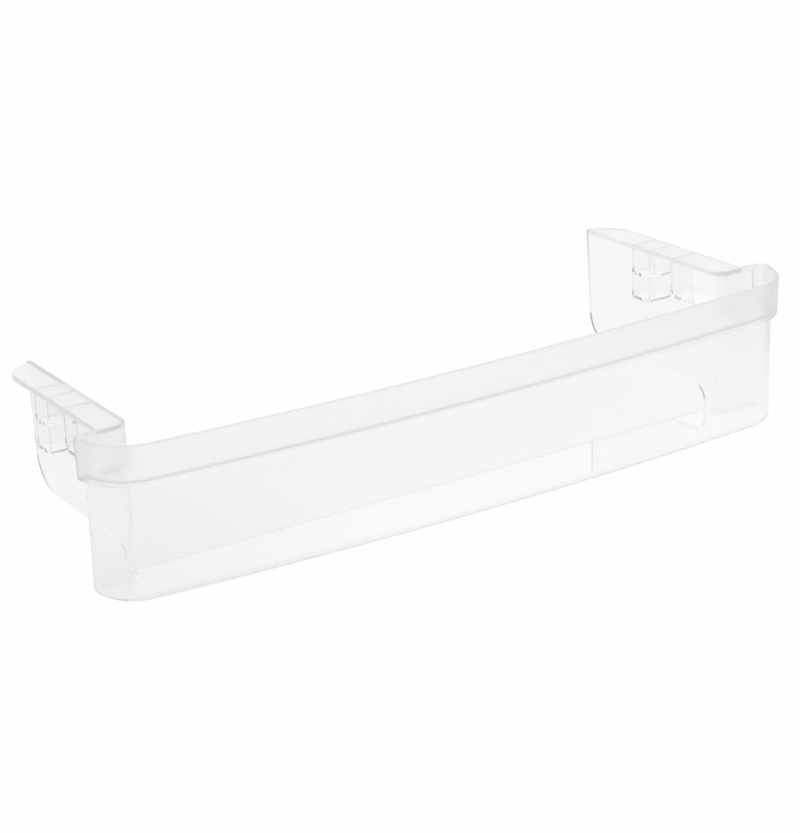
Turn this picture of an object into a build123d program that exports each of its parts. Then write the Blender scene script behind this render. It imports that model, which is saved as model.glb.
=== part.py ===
from build123d import *
import os
from math import cos, radians, sin, sqrt, tan

# Fridge door shelf, moulded in one piece from clear styrene plastic.
# +X runs along the front, the front faces -Y, and the ears reach back to the door along +Y.
# The origin is under the middle of the shelf, on the surface that its floor stands on.

# Overall sizes in millimetres
overall_width = 460.0
overall_depth = 163.0
overall_height = 89.5

# Walls and the draft that lets the moulding leave its tool
wall = 2.5
wall_draft = 0.45
floor_thickness = 2.5
floor_depth = 55.0
bottom_radius = 5.6
rim_radius = 1.0

# Bowed front, sides that slant outwards to the back, and returns from the sides to the ears
front_bow_radius = 2400.0
front_corner_radius = 28.0
side_slant = 18.5
return_depth = 44.8
return_corner_radius = 6.8

# Frosted band round the top of the front, one step proud of the wall below it
band_height = 23.5
band_step = 4.4
band_draft = 2.0
band_edge_radius = 1.6
band_back_radius = 5.2
band_setback = 1.0

# Ears that go back to the door, closer together at the back than at the front
end_width = 34.6
ear_toe = 2.15
ear_lower_height = 17.0
ear_back_lean = 2.9
ear_back_radius = 22.0
ear_root_radius = 10.0
ear_corner_radius = 6.0

# Flange along the top of each ear, cut back at its outer rear corner
flange_width = 18.8
flange_thickness = 3.0
flange_setback = 12.5
flange_corner_radius = 15.0

# Clip cells under each flange, measured forwards from the rear edge of the ear
rib_thickness = 2.0
rib_inset = 0.8
rear_rib_from_back = 43.0
middle_rib_from_back = 58.5
front_rib_from_back = 79.0
rear_cell_drop = 34.0
rear_cell_ledge_drop = 17.0
rear_cell_radius = 2.5
front_cell_drop = 25.0
front_cell_radius = 5.0

# Room that a cut runs past the faces that it goes through
overrun = 20.0

# Places worked out from the sizes above
front_y = -overall_depth / 2
bow_centre_y = front_y + front_bow_radius
return_y = front_y + return_depth
band_back_y = return_y - band_setback
floor_back_y = front_y + floor_depth
ear_back_y = front_y + overall_depth
ear_spacing = overall_width - 2 * end_width
ear_length = (overall_depth - return_depth) / cos(radians(ear_toe))


def side_back_x(inset, y):
    """X of a side, moved inwards by inset, where it would meet a return at depth y."""
    slant = radians(side_slant)
    sharp_x = overall_width / 2 + band_back_radius * ((1 + sin(slant)) / cos(slant) - 1)
    return sharp_x - inset / cos(slant) + (y - band_back_y) * tan(slant)


def side_front(inset, y):
    """Point where a side, moved inwards by inset and seen from depth y, meets the bowed front."""
    slant = radians(side_slant)
    x = side_back_x(inset, y)
    along = x * sin(slant) + (y - bow_centre_y) * cos(slant)
    beyond = (front_bow_radius - inset) ** 2 - x**2 - (y - bow_centre_y) ** 2
    run = along + sqrt(along**2 + beyond)
    return x - run * sin(slant), y - run * cos(slant)


def ear_face_x(end_inset, y):
    """X of an ear's outer face, moved inwards by end_inset, at depth y on the rim."""
    toe = radians(ear_toe)
    return ear_spacing / 2 + (wall - end_inset) / cos(toe) - (y - return_y) * tan(toe)


def round_corners(sketch, corner_x, corner_y, radius):
    """Round the pair of corners at (corner_x, corner_y) and its mirror image."""
    for x in (corner_x, -corner_x):
        fillet(sketch.vertices().sort_by_distance((x, corner_y))[0], radius)


def front_line(inset, y):
    """Bowed line of the front between its two sharp corners, the right one of which is returned."""
    x, corner_y = side_front(inset, y)
    ThreePointArc((-x, corner_y), (0, front_y + inset), (x, corner_y))
    return x, corner_y


def wall_plan(inset, end_inset, open_y):
    """Plan of the walls from ear to ear, moved inwards by the two insets and open at open_y."""
    back_y = return_y - end_inset
    back_x = side_back_x(inset, back_y)
    ear_x = ear_face_x(end_inset, back_y)
    open_x = ear_face_x(end_inset, open_y)
    with BuildSketch(Plane.XY.offset(overall_height)) as plan:
        with BuildLine():
            front = front_line(inset, back_y)
            right = [front, (back_x, back_y), (ear_x, back_y), (open_x, open_y)]
            left = [(-x, y) for x, y in reversed(right)]
            Polyline(*right, *left)
        make_face()
        round_corners(plan, *front, front_corner_radius - inset)
        round_corners(plan, back_x, back_y, return_corner_radius - end_inset)
        round_corners(plan, ear_x, back_y, ear_corner_radius + end_inset)
    return plan.sketch


def band_plan(inset):
    """Plan of the band, which ends just short of the backs of the returns, moved inwards by inset."""
    back_y = band_back_y - inset
    back_x = side_back_x(inset, back_y)
    with BuildSketch(Plane.XY.offset(overall_height)) as plan:
        with BuildLine():
            front = front_line(inset, back_y)
            Polyline(front, (back_x, back_y), (-back_x, back_y), (-front[0], front[1]))
        make_face()
        round_corners(plan, *front, front_corner_radius - inset)
        round_corners(plan, back_x, back_y, band_back_radius - inset)
    return plan.sketch


# Outside of the walls, drawn at the rim and narrowing downwards
with BuildPart() as outside:
    extrude(wall_plan(band_step, 0, ear_back_y + overrun), amount=-overall_height, taper=wall_draft)
    fillet(outside.edges().group_by(Axis.Z)[0], bottom_radius)

# Outside of the band, with a rounded lower edge
with BuildPart() as band_outside:
    extrude(band_plan(0), amount=-band_height, taper=band_draft)
    fillet(band_outside.edges().group_by(Axis.Z)[0], band_edge_radius)

# Hollow of the shelf, which runs out at the back
with BuildPart() as hollow:
    hollow_plan = wall_plan(band_step + wall, wall, ear_back_y + 2 * overrun)
    extrude(hollow_plan, amount=-(overall_height - floor_thickness), taper=wall_draft)
    fillet(hollow.edges().group_by(Axis.Z)[0], bottom_radius - wall)

# Hollow of the band, one wall above its lower edge
with BuildPart() as band_hollow:
    extrude(band_plan(wall), amount=-(band_height - wall), taper=band_draft)

# Flange and clip cells of the right ear, in the ear's own directions
toe_cos = cos(radians(ear_toe))
toe_sin = sin(radians(ear_toe))
ear_front = (ear_spacing / 2, return_y, overall_height)
flange_plane = Plane(origin=ear_front, x_dir=(toe_cos, toe_sin, 0))
cell_plane = Plane(origin=ear_front, x_dir=(-toe_sin, toe_cos, 0), z_dir=(toe_cos, toe_sin, 0))
seat = wall / 2
cell_reach = flange_width - rib_inset - seat

with BuildPart() as right_clip:
    with BuildSketch(flange_plane) as flange:
        slant = flange_setback / (flange_width - wall)
        inner_back = (seat, ear_length + slant * (wall - seat))
        outer_back = (flange_width, ear_length - flange_setback)
        with BuildLine():
            Polyline((seat, -seat), inner_back, outer_back, (flange_width, -seat), close=True)
        make_face()
        fillet(flange.vertices().sort_by_distance(outer_back)[0], flange_corner_radius)
    extrude(amount=-flange_thickness)
    with BuildSketch(cell_plane.offset(seat)) as rear_cell:
        rear_u = ear_length - rear_rib_from_back + rib_thickness / 2
        middle_u = ear_length - middle_rib_from_back - rib_thickness / 2
        with BuildLine():
            Polyline(
                (middle_u, 0),
                (rear_u, 0),
                (rear_u, -rear_cell_drop),
                (middle_u, -rear_cell_drop),
                close=True,
            )
        make_face()
        fillet(rear_cell.vertices().group_by(Axis.Y)[0], rear_cell_radius)
        cell_width = rear_u - middle_u - 2 * rib_thickness
        cell_u = (rear_u + middle_u) / 2
        upper_height = rear_cell_ledge_drop - flange_thickness
        lower_height = rear_cell_drop - rear_cell_ledge_drop - 2 * rib_thickness
        with Locations((cell_u, -flange_thickness - upper_height / 2)):
            Rectangle(cell_width, upper_height, mode=Mode.SUBTRACT)
        with Locations((cell_u, -rear_cell_drop + rib_thickness + lower_height / 2)):
            Rectangle(cell_width, lower_height, mode=Mode.SUBTRACT)
    extrude(amount=cell_reach)
    with BuildSketch(cell_plane.offset(seat)) as front_cell:
        front_u = ear_length - front_rib_from_back + rib_thickness / 2
        with BuildLine():
            bend = FilletPolyline(
                (front_u, 0),
                (front_u, -front_cell_drop),
                (-seat, -front_cell_drop),
                radius=front_cell_radius,
            )
            offset(bend, amount=rib_thickness, side=Side.RIGHT)
        make_face()
    extrude(amount=cell_reach)

# The whole moulding
with BuildPart() as door_shelf:
    add(outside.part)
    add(band_outside.part)
    add(right_clip.part)
    mirror(right_clip.part, about=Plane.YZ)
    add(hollow.part, mode=Mode.SUBTRACT)
    add(band_hollow.part, mode=Mode.SUBTRACT)
    # Side outline: the floor ends behind the front, and each ear has a round lower rear corner
    with BuildSketch(Plane.YZ) as side_cut:
        ear_root = (floor_back_y, ear_lower_height)
        lean = tan(radians(ear_back_lean))
        ear_heel = (ear_back_y - lean * (overall_height - ear_lower_height), ear_lower_height)
        ear_top = (ear_back_y + lean * overrun, overall_height + overrun)
        far_y = ear_back_y + 3 * overrun
        with BuildLine():
            Polyline(
                (floor_back_y, -overrun),
                ear_root,
                ear_heel,
                ear_top,
                (far_y, overall_height + overrun),
                (far_y, -overrun),
                close=True,
            )
        make_face()
        fillet(side_cut.vertices().sort_by_distance(ear_root)[0], ear_root_radius)
        fillet(side_cut.vertices().sort_by_distance(ear_heel)[0], ear_back_radius)
    extrude(amount=overall_width, both=True, mode=Mode.SUBTRACT)
    # Eased rim, round the top of the walls and the flanges
    fillet(door_shelf.edges().group_by(Axis.Z)[-1], rim_radius)

door_shelf.part.label = "door_shelf"

os.makedirs("parts", exist_ok=True)
export_step(door_shelf.part, "parts/door_shelf.step")
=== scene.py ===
from math import radians

import bpy
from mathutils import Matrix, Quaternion, Vector


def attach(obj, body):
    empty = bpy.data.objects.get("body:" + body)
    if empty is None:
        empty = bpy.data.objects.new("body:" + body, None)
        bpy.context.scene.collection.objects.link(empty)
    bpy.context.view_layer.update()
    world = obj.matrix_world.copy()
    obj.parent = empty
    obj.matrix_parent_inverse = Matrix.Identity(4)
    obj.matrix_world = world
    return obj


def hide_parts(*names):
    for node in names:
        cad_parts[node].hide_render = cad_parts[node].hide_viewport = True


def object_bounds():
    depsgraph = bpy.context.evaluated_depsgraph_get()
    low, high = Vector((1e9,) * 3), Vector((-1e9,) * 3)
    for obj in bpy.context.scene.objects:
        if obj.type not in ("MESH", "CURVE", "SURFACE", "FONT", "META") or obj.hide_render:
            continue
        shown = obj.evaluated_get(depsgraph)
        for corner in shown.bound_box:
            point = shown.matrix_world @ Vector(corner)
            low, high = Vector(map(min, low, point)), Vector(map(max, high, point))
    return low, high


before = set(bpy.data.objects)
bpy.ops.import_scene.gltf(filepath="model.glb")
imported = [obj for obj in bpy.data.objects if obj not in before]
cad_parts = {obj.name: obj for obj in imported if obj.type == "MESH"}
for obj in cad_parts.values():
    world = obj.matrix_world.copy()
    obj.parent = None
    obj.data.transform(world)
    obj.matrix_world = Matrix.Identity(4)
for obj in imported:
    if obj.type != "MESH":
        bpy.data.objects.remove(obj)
cad_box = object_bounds()

# Shelf: one injection moulding of clear polystyrene, which hangs on the door by its two ears.
# It is a copy of the CAD mesh, with split vertices merged so that the round corners shade smoothly.
merge_distance = 0.00001
smooth_angle = 32

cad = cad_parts["door_shelf"]
bpy.ops.object.select_all(action="DESELECT")
cad.select_set(True)
bpy.context.view_layer.objects.active = cad
bpy.ops.object.duplicate()
shelf = bpy.context.object
shelf.name = "shelf"
bpy.ops.object.mode_set(mode="EDIT")
bpy.ops.mesh.select_all(action="SELECT")
bpy.ops.mesh.remove_doubles(threshold=merge_distance)
bpy.ops.object.mode_set(mode="OBJECT")
bpy.ops.mesh.customdata_custom_splitnormals_clear()
bpy.ops.object.shade_smooth_by_angle(angle=radians(smooth_angle))
bpy.ops.object.modifier_add(type="WEIGHTED_NORMAL")
shelf.modifiers[-1].weight = 100
shelf.modifiers[-1].keep_sharp = True


def linear(code):
    """sRGB hex code as linear RGBA."""
    parts = [int(code[i : i + 2], 16) / 255 for i in (1, 3, 5)]
    return [c / 12.92 if c <= 0.04045 else ((c + 0.055) / 1.055) ** 2.4 for c in parts] + [1.0]


def add_node(tree, kind, feeds, **settings):
    """Shader node with its settings, and its inputs fed by values or by the outputs of other nodes."""
    node = tree.nodes.new(kind)
    for name, value in settings.items():
        setattr(node, name, value)
    for name, value in feeds.items():
        if isinstance(value, bpy.types.NodeSocket):
            tree.links.new(value, node.inputs[name])
        else:
            node.inputs[name].default_value = value
    return node


# Clear polystyrene takes its finish from the tool. Polished walls show sharp reflections, and the band,
# from an etched part of the tool, blurs what is behind it. The rim and the flange tops are drawn nearly
# as rough as the band, because polished edges that thin come out dotted.
front_y = cad_box[0][1]
rim_z = cad_box[1][2]
band_bottom = rim_z - 0.0237
band_top = rim_z - 0.0009
band_back = front_y + 0.04746
flange_bottom = rim_z - 0.0033
finish_fade = 0.0004
rim_fade = 0.0003
wall_roughness = 0.02
flange_roughness = 0.28
band_roughness = 0.29
polystyrene_ior = 1.57
wall_tint = "#DEDCDD"
tint_density = 9.0
# From these bounces on, the plastic shows a painted pale grey glow.
trapped_from = 9.0
trapped_full = 16.0
trapped_light = "#E4E2E6"

plastic = bpy.data.materials.new("clear_plastic")
plastic.use_nodes = True
plastic.cycles.emission_sampling = "NONE"
tree = plastic.node_tree
shader = tree.nodes["Principled BSDF"]
surface = tree.nodes["Material Output"]

# Each limit is 1 on one side of a plane and 0 on the other. A negative fade turns it round.
place = add_node(tree, "ShaderNodeTexCoord", {})
axes = add_node(tree, "ShaderNodeSeparateXYZ", {"Vector": place.outputs["Object"]})
limits = []
for axis, plane, fade in (
    ("Z", band_bottom, finish_fade),
    ("Z", band_top, -rim_fade),
    ("Y", band_back, -finish_fade),
    ("Z", flange_bottom, finish_fade),
):
    span = {"Value": axes.outputs[axis], "From Min": plane - fade, "From Max": plane + fade}
    limits.append(add_node(tree, "ShaderNodeMapRange", span).outputs["Result"])
above, below, ahead, top = limits
strip = add_node(tree, "ShaderNodeMath", {0: above, 1: below}, operation="MULTIPLY")
band = add_node(tree, "ShaderNodeMath", {0: strip.outputs["Value"], 1: ahead}, operation="MULTIPLY")
finish = {"Value": top, "To Min": wall_roughness, "To Max": flange_roughness}
polish = add_node(tree, "ShaderNodeMapRange", finish)
finish = {"Value": band.outputs["Value"], "To Min": polish.outputs["Result"], "To Max": band_roughness}
rough = add_node(tree, "ShaderNodeMapRange", finish)
shader.inputs["Base Color"].default_value = linear("#FFFFFF")
shader.inputs["Transmission Weight"].default_value = 1.0
shader.inputs["IOR"].default_value = polystyrene_ior
tree.links.new(rough.outputs["Result"], shader.inputs["Roughness"])

# Light caught in the walls is a painted glow: after nine bounces the plastic fades to a pale grey glow,
# where the bounce limit would end it in black.
path = add_node(tree, "ShaderNodeLightPath", {})
span = {"Value": path.outputs["Ray Depth"], "From Min": trapped_from, "From Max": trapped_full}
trapped = add_node(tree, "ShaderNodeMapRange", span)
trapped_glow = add_node(tree, "ShaderNodeEmission", {"Color": linear(trapped_light), "Strength": 1.0})
parts = {"Fac": trapped.outputs["Result"], 1: shader.outputs["BSDF"], 2: trapped_glow.outputs["Emission"]}
blend = add_node(tree, "ShaderNodeMixShader", parts)
tint = add_node(tree, "ShaderNodeVolumeAbsorption", {"Color": linear(wall_tint), "Density": tint_density})
tree.links.new(blend.outputs["Shader"], surface.inputs["Surface"])
tree.links.new(tint.outputs["Volume"], surface.inputs["Volume"])

shelf.data.materials.clear()
shelf.data.materials.append(plastic)
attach(shelf, "root")
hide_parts("door_shelf")

# Floor: a painted sweep under the shelf. To the camera it glows white, with a trace of its shaded paint.
# Through the plastic it is a pale backdrop, with a dark table at the sides and the front, and a soft
# painted shade, in the table's dark colour, round the left front corner of the shelf.
floor_half = 6.0
floor_drop = 0.0003
floor_paint = "#F4F4F4"
backdrop = "#F9F7F8"
# Dark tone of the table, also used for the painted shade round the corner.
dark_table_and_shade = "#6E7282"
glow_share = 0.98
table_axis = (0.84, -0.55, 0.0)
left_table = (-0.24, -0.7)
right_table = (0.25, 0.8)
front_table = (-0.09, -0.2)
front_table_lean = (0.3, -0.3)
front_table_depth = 0.6
# Painted shade on the floor round the left front corner: its centre, fade span and depth.
shaded_corner = (-0.22, -0.05, 0.0)
corner_shade = (0.18, 0.04)
corner_shade_depth = 0.1

bpy.ops.mesh.primitive_plane_add(size=2 * floor_half, location=(0, 0, -floor_drop))
floor = bpy.context.object
floor.name = "floor"
sweep = bpy.data.materials.new("white_sweep")
sweep.use_nodes = True
sweep.cycles.emission_sampling = "NONE"
tree = sweep.node_tree
tree.nodes.clear()

# Each zone grows from 0 to its depth between the two ends of its span.
place = add_node(tree, "ShaderNodeTexCoord", {})
spot = place.outputs["Object"]
axes = add_node(tree, "ShaderNodeSeparateXYZ", {"Vector": spot})
across = add_node(tree, "ShaderNodeVectorMath", {0: spot, 1: table_axis}, operation="DOT_PRODUCT")
corner = add_node(tree, "ShaderNodeVectorMath", {0: spot, 1: shaded_corner}, operation="DISTANCE")
zones = []
for reading, (start, end), depth in (
    (across.outputs["Value"], left_table, 1.0),
    (across.outputs["Value"], right_table, 1.0),
    (corner.outputs["Value"], corner_shade, corner_shade_depth),
    (axes.outputs["Y"], front_table, 1.0),
    (axes.outputs["X"], front_table_lean, front_table_depth),
):
    span = {"Value": reading, "From Min": start, "From Max": end, "To Max": depth}
    zones.append(add_node(tree, "ShaderNodeMapRange", span).outputs["Result"])
left, right, shade, ahead, lean = zones
front = add_node(tree, "ShaderNodeMath", {0: ahead, 1: lean}, operation="MULTIPLY")
dark = left
for zone in (right, shade, front.outputs["Value"]):
    dark = add_node(tree, "ShaderNodeMath", {0: dark, 1: zone}, operation="MAXIMUM").outputs["Value"]

# The colours of a Mix node are its inputs 6 and 7, and its output 2.
path = add_node(tree, "ShaderNodeLightPath", {})
to_camera = path.outputs["Is Camera Ray"]
# The dark colour paints the table and the shade round the corner alike.
parts = {0: dark, 6: linear(backdrop), 7: linear(dark_table_and_shade)}
table_and_shade = add_node(tree, "ShaderNodeMix", parts, data_type="RGBA")
parts = {0: to_camera, 6: table_and_shade.outputs[2], 7: linear("#FFFFFF")}
tone = add_node(tree, "ShaderNodeMix", parts, data_type="RGBA")
shown = to_camera
for ray in ("Is Glossy Ray", "Is Transmission Ray"):
    parts = {0: shown, 1: path.outputs[ray]}
    shown = add_node(tree, "ShaderNodeMath", parts, operation="MAXIMUM").outputs["Value"]
share = add_node(tree, "ShaderNodeMath", {0: shown, 1: glow_share}, operation="MULTIPLY")
paint = add_node(tree, "ShaderNodeBsdfDiffuse", {"Color": linear(floor_paint)})
glow = add_node(tree, "ShaderNodeEmission", {"Color": tone.outputs[2], "Strength": 1.0})
parts = {"Fac": share.outputs["Value"], 1: paint.outputs["BSDF"], 2: glow.outputs["Emission"]}
blend = add_node(tree, "ShaderNodeMixShader", parts)
add_node(tree, "ShaderNodeOutputMaterial", {"Surface": blend.outputs["Shader"]})
floor.data.materials.append(sweep)

# Surroundings: a room that is bright behind the shelf and dimmer towards the camera, for the clear
# walls to mirror. To the camera itself it is plain white.
bright_side = (0.55, 0.84, 0.0)
bright_from = 0.85
bright_level = 1.12
dim_level = 0.45
room_tone = "#FBF9F6"

room = bpy.data.worlds.new("room")
bpy.context.scene.world = room
room.use_nodes = True
tree = room.node_tree
tree.nodes.clear()
path = add_node(tree, "ShaderNodeLightPath", {})
to_camera = path.outputs["Is Camera Ray"]
place = add_node(tree, "ShaderNodeTexCoord", {})
parts = {0: place.outputs["Generated"], 1: bright_side}
facing = add_node(tree, "ShaderNodeVectorMath", parts, operation="DOT_PRODUCT")
turned = facing.outputs["Value"]
span = {"Value": turned, "From Max": bright_from, "To Min": dim_level, "To Max": bright_level}
side = add_node(tree, "ShaderNodeMapRange", span)
level = add_node(tree, "ShaderNodeMath", {0: side.outputs["Result"], 1: to_camera}, operation="MAXIMUM")
parts = {0: to_camera, 6: linear(room_tone), 7: linear("#FFFFFF")}
tone = add_node(tree, "ShaderNodeMix", parts, data_type="RGBA")
parts = {"Color": tone.outputs[2], "Strength": level.outputs["Value"]}
sky = add_node(tree, "ShaderNodeBackground", parts)
add_node(tree, "ShaderNodeOutputWorld", {"Surface": sky.outputs["Background"]})

# Lamp: one dim softbox, behind the shelf and above it.
softbox_place = Vector((-0.3, 1.3, 1.1))
softbox_aim = Vector((0.0, 0.0, 0.05))

bpy.ops.object.light_add(type="AREA", location=softbox_place)
softbox = bpy.context.object
softbox.rotation_euler = (softbox_place - softbox_aim).to_track_quat("Z", "Y").to_euler()
softbox.name = "softbox"
softbox.data.shape = "RECTANGLE"
softbox.data.size = 0.8
softbox.data.size_y = 0.5
softbox.data.energy = 1.2

# Camera: long lens from the front left, a little above, turned slightly about its own axis.
look_at = Vector((-0.0245, -0.0317, 0.0502))
towards = Vector((-0.51181, -0.78488, 0.34930))
distance = 1.6219
roll = 2.009

bpy.ops.object.camera_add(location=look_at + towards * distance)
camera = bpy.context.object
turn = towards.to_track_quat("Z", "Y") @ Quaternion((0, 0, 1), radians(-roll))
camera.rotation_euler = turn.to_euler()
camera.data.sensor_fit = "HORIZONTAL"
camera.data.sensor_width = 36.0
camera.data.lens = 132.34
camera.data.clip_start = 0.05
bpy.context.scene.camera = camera

# Light crosses many clear walls, so the bounce limits are high. The glossy filter is off, because it
# scatters light in the band far wider than the band's own texture does.
bpy.context.scene.view_settings.view_transform = "Standard"
bpy.context.scene.cycles.max_bounces = 32
bpy.context.scene.cycles.glossy_bounces = 24
bpy.context.scene.cycles.transmission_bounces = 32
bpy.context.scene.cycles.blur_glossy = 0.0
